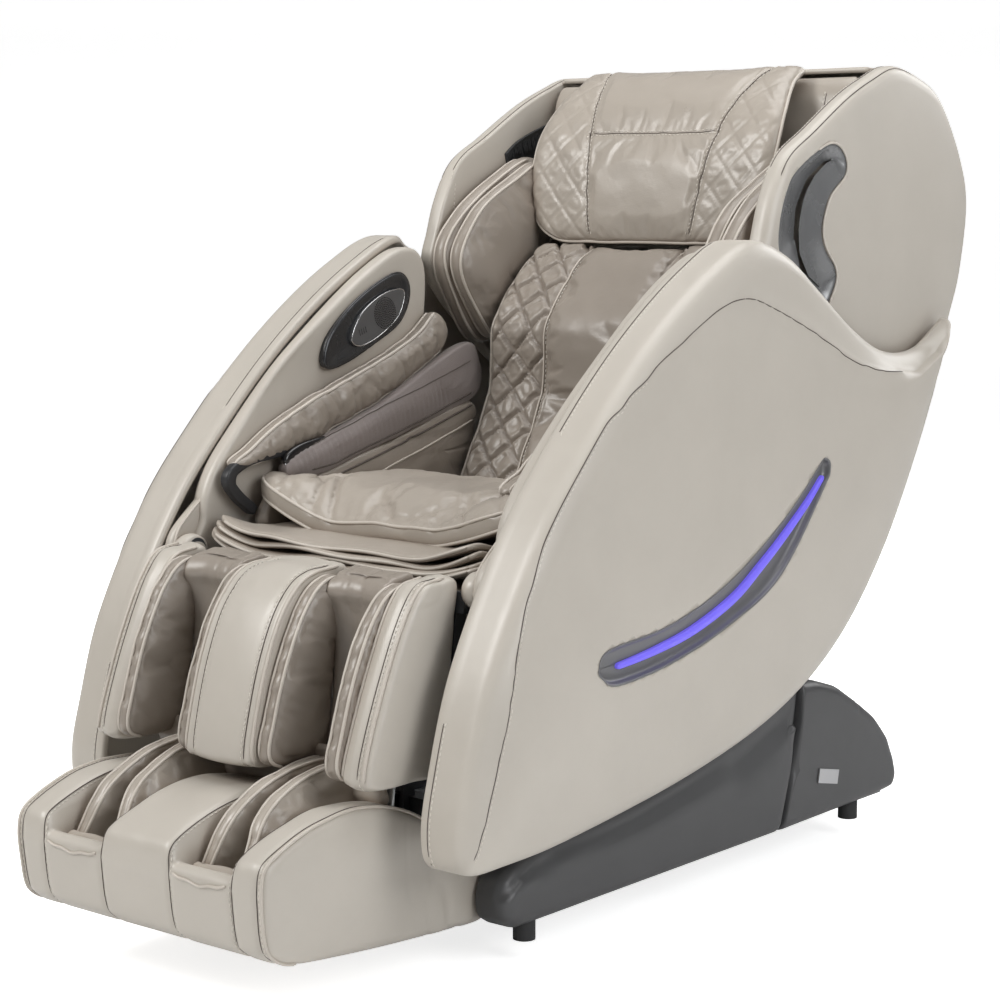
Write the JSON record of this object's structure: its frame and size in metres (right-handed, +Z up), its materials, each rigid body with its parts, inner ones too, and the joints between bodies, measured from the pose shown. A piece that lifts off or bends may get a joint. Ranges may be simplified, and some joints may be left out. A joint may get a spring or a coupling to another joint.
{
  "type": "massage chair",
  "caption": "Reclining massage chair: leather side panels and hooded back over a plastic base, with a lifting leg rest, extending foot rest and travelling massage rollers.",
  "frame": {"origin": "centre of the footprint box, on the floor", "axes": "+X to the sitter's left, the sitter faces -Y, +Z up; the chair is longest along Y"},
  "size_m": [0.776, 1.483, 1.16],
  "materials": {
    "steel_frame": "satin black powder coat",
    "zinc": "zinc plated",
    "charcoal": "fine grained moulded plastic",
    "leather": "soft synthetic leather, warm grey",
    "airbag_cloth": "coated airbag cloth",
    "grip": "black plastic",
    "rubber": "black rubber",
    "gloss_black": "high gloss",
    "badge": "blank satin plate",
    "bezel": "satin grey",
    "light": "translucent light strip",
    "trim": "satin metallic grey",
    "roller": "moulded nylon",
    "switch_red": "red rocker",
    "motor": "black painted",
    "nylon": "white nylon",
    "board": "plywood"
  },
  "bodies": {
    "base": {"base_frame": "steel_frame", "side_covers": "charcoal", "rear_cover": "charcoal", "badge_plate": "badge", "foot_pads": "rubber", "track_rails": "zinc", "power_panel": "grip"},
    "wheelset": {"transport_wheels": "rubber"},
    "switch": {"power_switch": "switch_red"},
    "carriage": {"carriage_frame": "steel_frame", "slide_pads": "nylon"},
    "seat": {"seat_frame": "steel_frame", "hinge_pins": "zinc", "side_panels": "leather", "light_bezels": "bezel", "light_strips": "light", "arm_rests": "leather", "arm_pads": "leather", "forearm_airbags": "airbag_cloth", "speakers": "grip", "control_pod": "gloss_black", "seat_pan": "board", "seat_airbags": "leather", "seat_pad": "leather", "air_pump": "motor", "control_box": "grip"},
    "button_a": {"control_button_a": "zinc"},
    "button_b": {"control_button_b": "zinc"},
    "tilt_housing": {"tilt_actuator_housing": "motor"},
    "tilt_rod": {"tilt_actuator_rod": "zinc"},
    "recline_housing": {"recline_actuator_housing": "motor"},
    "recline_rod": {"recline_actuator_rod": "zinc"},
    "leg_housing": {"leg_actuator_housing": "motor"},
    "leg_rod": {"leg_actuator_rod": "zinc"},
    "back": {"back_frame": "steel_frame", "massage_rails": "zinc", "rear_shell": "leather", "wings": "leather", "wing_trims": "trim", "vent_grilles": "grip", "shoulder_airbags": "leather", "back_pad": "leather", "upper_panel": "leather"},
    "screw": {"lead_screw": "zinc"},
    "massage_unit": {"massage_carriage": "motor", "massage_motor": "motor"},
    "arm_left": {"massage_arm_left": "motor"},
    "arm_right": {"massage_arm_right": "motor"},
    "roller_lh": {"roller_left_high": "roller"},
    "roller_ll": {"roller_left_low": "roller"},
    "roller_rh": {"roller_right_high": "roller"},
    "roller_rl": {"roller_right_low": "roller"},
    "head_pillow": {"pillow": "leather"},
    "leg_rest": {"leg_frame": "steel_frame", "calf_cushions": "leather", "calf_airbags": "leather"},
    "foot_rest": {"foot_slide_rods": "zinc", "foot_body": "leather", "foot_airbags": "leather"},
    "foot_roller": {"foot_rollers": "roller"}
  },
  "joints": [
    {"name": "wheel_spin", "type": "hinge", "parent": "base", "child": "wheelset", "pos_m": [0, 0.56, 0.033], "axis": [-1, 0, 0], "continuous": true},
    {"name": "power_rock", "type": "hinge", "parent": "base", "child": "switch", "pos_m": [0, 0.6, 0.088], "axis": [-1, 0, 0], "range_deg": [-10, 10]},
    {"name": "carriage_travel", "type": "slide", "parent": "base", "child": "carriage", "axis": [0, -1, 0], "range_m": [0, 0.145]},
    {"name": "seat_tilt", "type": "hinge", "parent": "carriage", "child": "seat", "pos_m": [0, 0.212, 0.26], "axis": [-1, 0, 0], "range_deg": [0, 15]},
    {"name": "tilt_housing_swing", "type": "hinge", "parent": "carriage", "child": "tilt_housing", "pos_m": [0, -0.18, 0.13], "axis": [-1, 0, 0], "range_deg": [0, 8.56]},
    {"name": "tilt_rod_stroke", "type": "slide", "parent": "tilt_housing", "child": "tilt_rod", "axis": [0, -0.0866, 0.9962], "range_m": [0, 0.10501]},
    {"name": "back_recline", "type": "hinge", "parent": "seat", "child": "back", "pos_m": [0, 0.16, 0.42], "axis": [-1, 0, 0], "range_deg": [0, 30]},
    {"name": "recline_housing_swing", "type": "hinge", "parent": "seat", "child": "recline_housing", "pos_m": [0, -0.21, 0.33], "axis": [-1, 0, 0], "range_deg": [-2.2, 0]},
    {"name": "recline_rod_stroke", "type": "slide", "parent": "recline_housing", "child": "recline_rod", "axis": [0, 0.9996, -0.027], "range_m": [-0.05112, 0]},
    {"name": "leg_lift", "type": "hinge", "parent": "seat", "child": "leg_rest", "pos_m": [0, -0.39, 0.478], "axis": [-1, 0, 0], "range_deg": [0, 80]},
    {"name": "leg_housing_swing", "type": "hinge", "parent": "seat", "child": "leg_housing", "pos_m": [0, -0.195, 0.35], "axis": [-1, 0, 0], "range_deg": [0, 9.87]},
    {"name": "leg_rod_stroke", "type": "slide", "parent": "leg_housing", "child": "leg_rod", "axis": [0, -0.9765, 0.2153], "range_m": [0, 0.10317]},
    {"name": "foot_extend", "type": "slide", "parent": "leg_rest", "child": "foot_rest", "axis": [0, -0.1219, -0.9925], "range_m": [0, 0.15], "stiffness_N_per_m": 6000},
    {"name": "foot_roller_spin", "type": "hinge", "parent": "foot_rest", "child": "foot_roller", "pos_m": [0, -0.61, 0.092], "axis": [-1, 0, 0], "continuous": true},
    {"name": "massage_travel", "type": "slide", "parent": "back", "child": "massage_unit", "axis": [0, 0.5, 0.866], "range_m": [0, 0.3], "stiffness_N_per_m": 3000},
    {"name": "screw_spin", "type": "hinge", "parent": "back", "child": "screw", "pos_m": [0, 0.33598, 0.66481], "axis": [0, 0.5, 0.866], "range_deg": [0, 5454]},
    {"name": "knead_left", "type": "hinge", "parent": "massage_unit", "child": "arm_left", "pos_m": [0, 0.2225, 0.52825], "axis": [-1, 0, 0], "range_deg": [-8, 8]},
    {"name": "knead_right", "type": "hinge", "parent": "massage_unit", "child": "arm_right", "pos_m": [0, 0.2225, 0.52825], "axis": [-1, 0, 0], "range_deg": [-8.2, 8.2]},
    {"name": "roller_lh_spin", "type": "hinge", "parent": "arm_left", "child": "roller_lh", "pos_m": [0, 0.22335, 0.57972], "axis": [-1, 0, 0], "continuous": true},
    {"name": "roller_ll_spin", "type": "hinge", "parent": "arm_left", "child": "roller_ll", "pos_m": [0, 0.17835, 0.50178], "axis": [-1, 0, 0], "continuous": true},
    {"name": "roller_rh_spin", "type": "hinge", "parent": "arm_right", "child": "roller_rh", "pos_m": [0, 0.22335, 0.57972], "axis": [-1, 0, 0], "continuous": true},
    {"name": "roller_rl_spin", "type": "hinge", "parent": "arm_right", "child": "roller_rl", "pos_m": [0, 0.17835, 0.50178], "axis": [-1, 0, 0], "continuous": true},
    {"name": "pillow_flip", "type": "hinge", "parent": "back", "child": "head_pillow", "pos_m": [0, 0.452, 1.15], "axis": [-1, 0, 0], "range_deg": [0, 90]},
    {"name": "button_a_press", "type": "slide", "parent": "seat", "child": "button_a", "axis": [-1, 0, 0], "range_m": [0, 0.0015], "stiffness_N_per_m": 500},
    {"name": "button_b_press", "type": "slide", "parent": "seat", "child": "button_b", "axis": [-1, 0, 0], "range_m": [0, 0.0015], "stiffness_N_per_m": 500}
  ],
  "couplings": [
    {"joint": "carriage_travel", "follows": "back_recline", "m_per_rad": 0.26738},
    {"joint": "tilt_housing_swing", "follows": "seat_tilt", "ratio": 0.55939},
    {"joint": "tilt_rod_stroke", "follows": "seat_tilt", "m_per_rad": 0.39325},
    {"joint": "recline_housing_swing", "follows": "back_recline", "ratio": -0.071882},
    {"joint": "recline_rod_stroke", "follows": "back_recline", "m_per_rad": -0.095717},
    {"joint": "leg_housing_swing", "follows": "leg_lift", "ratio": 0.12096},
    {"joint": "leg_rod_stroke", "follows": "leg_lift", "m_per_rad": 0.072444},
    {"joint": "screw_spin", "follows": "massage_travel", "rad_per_m": 314.16},
    {"joint": "knead_right", "follows": "knead_left", "ratio": -1}
  ]
}
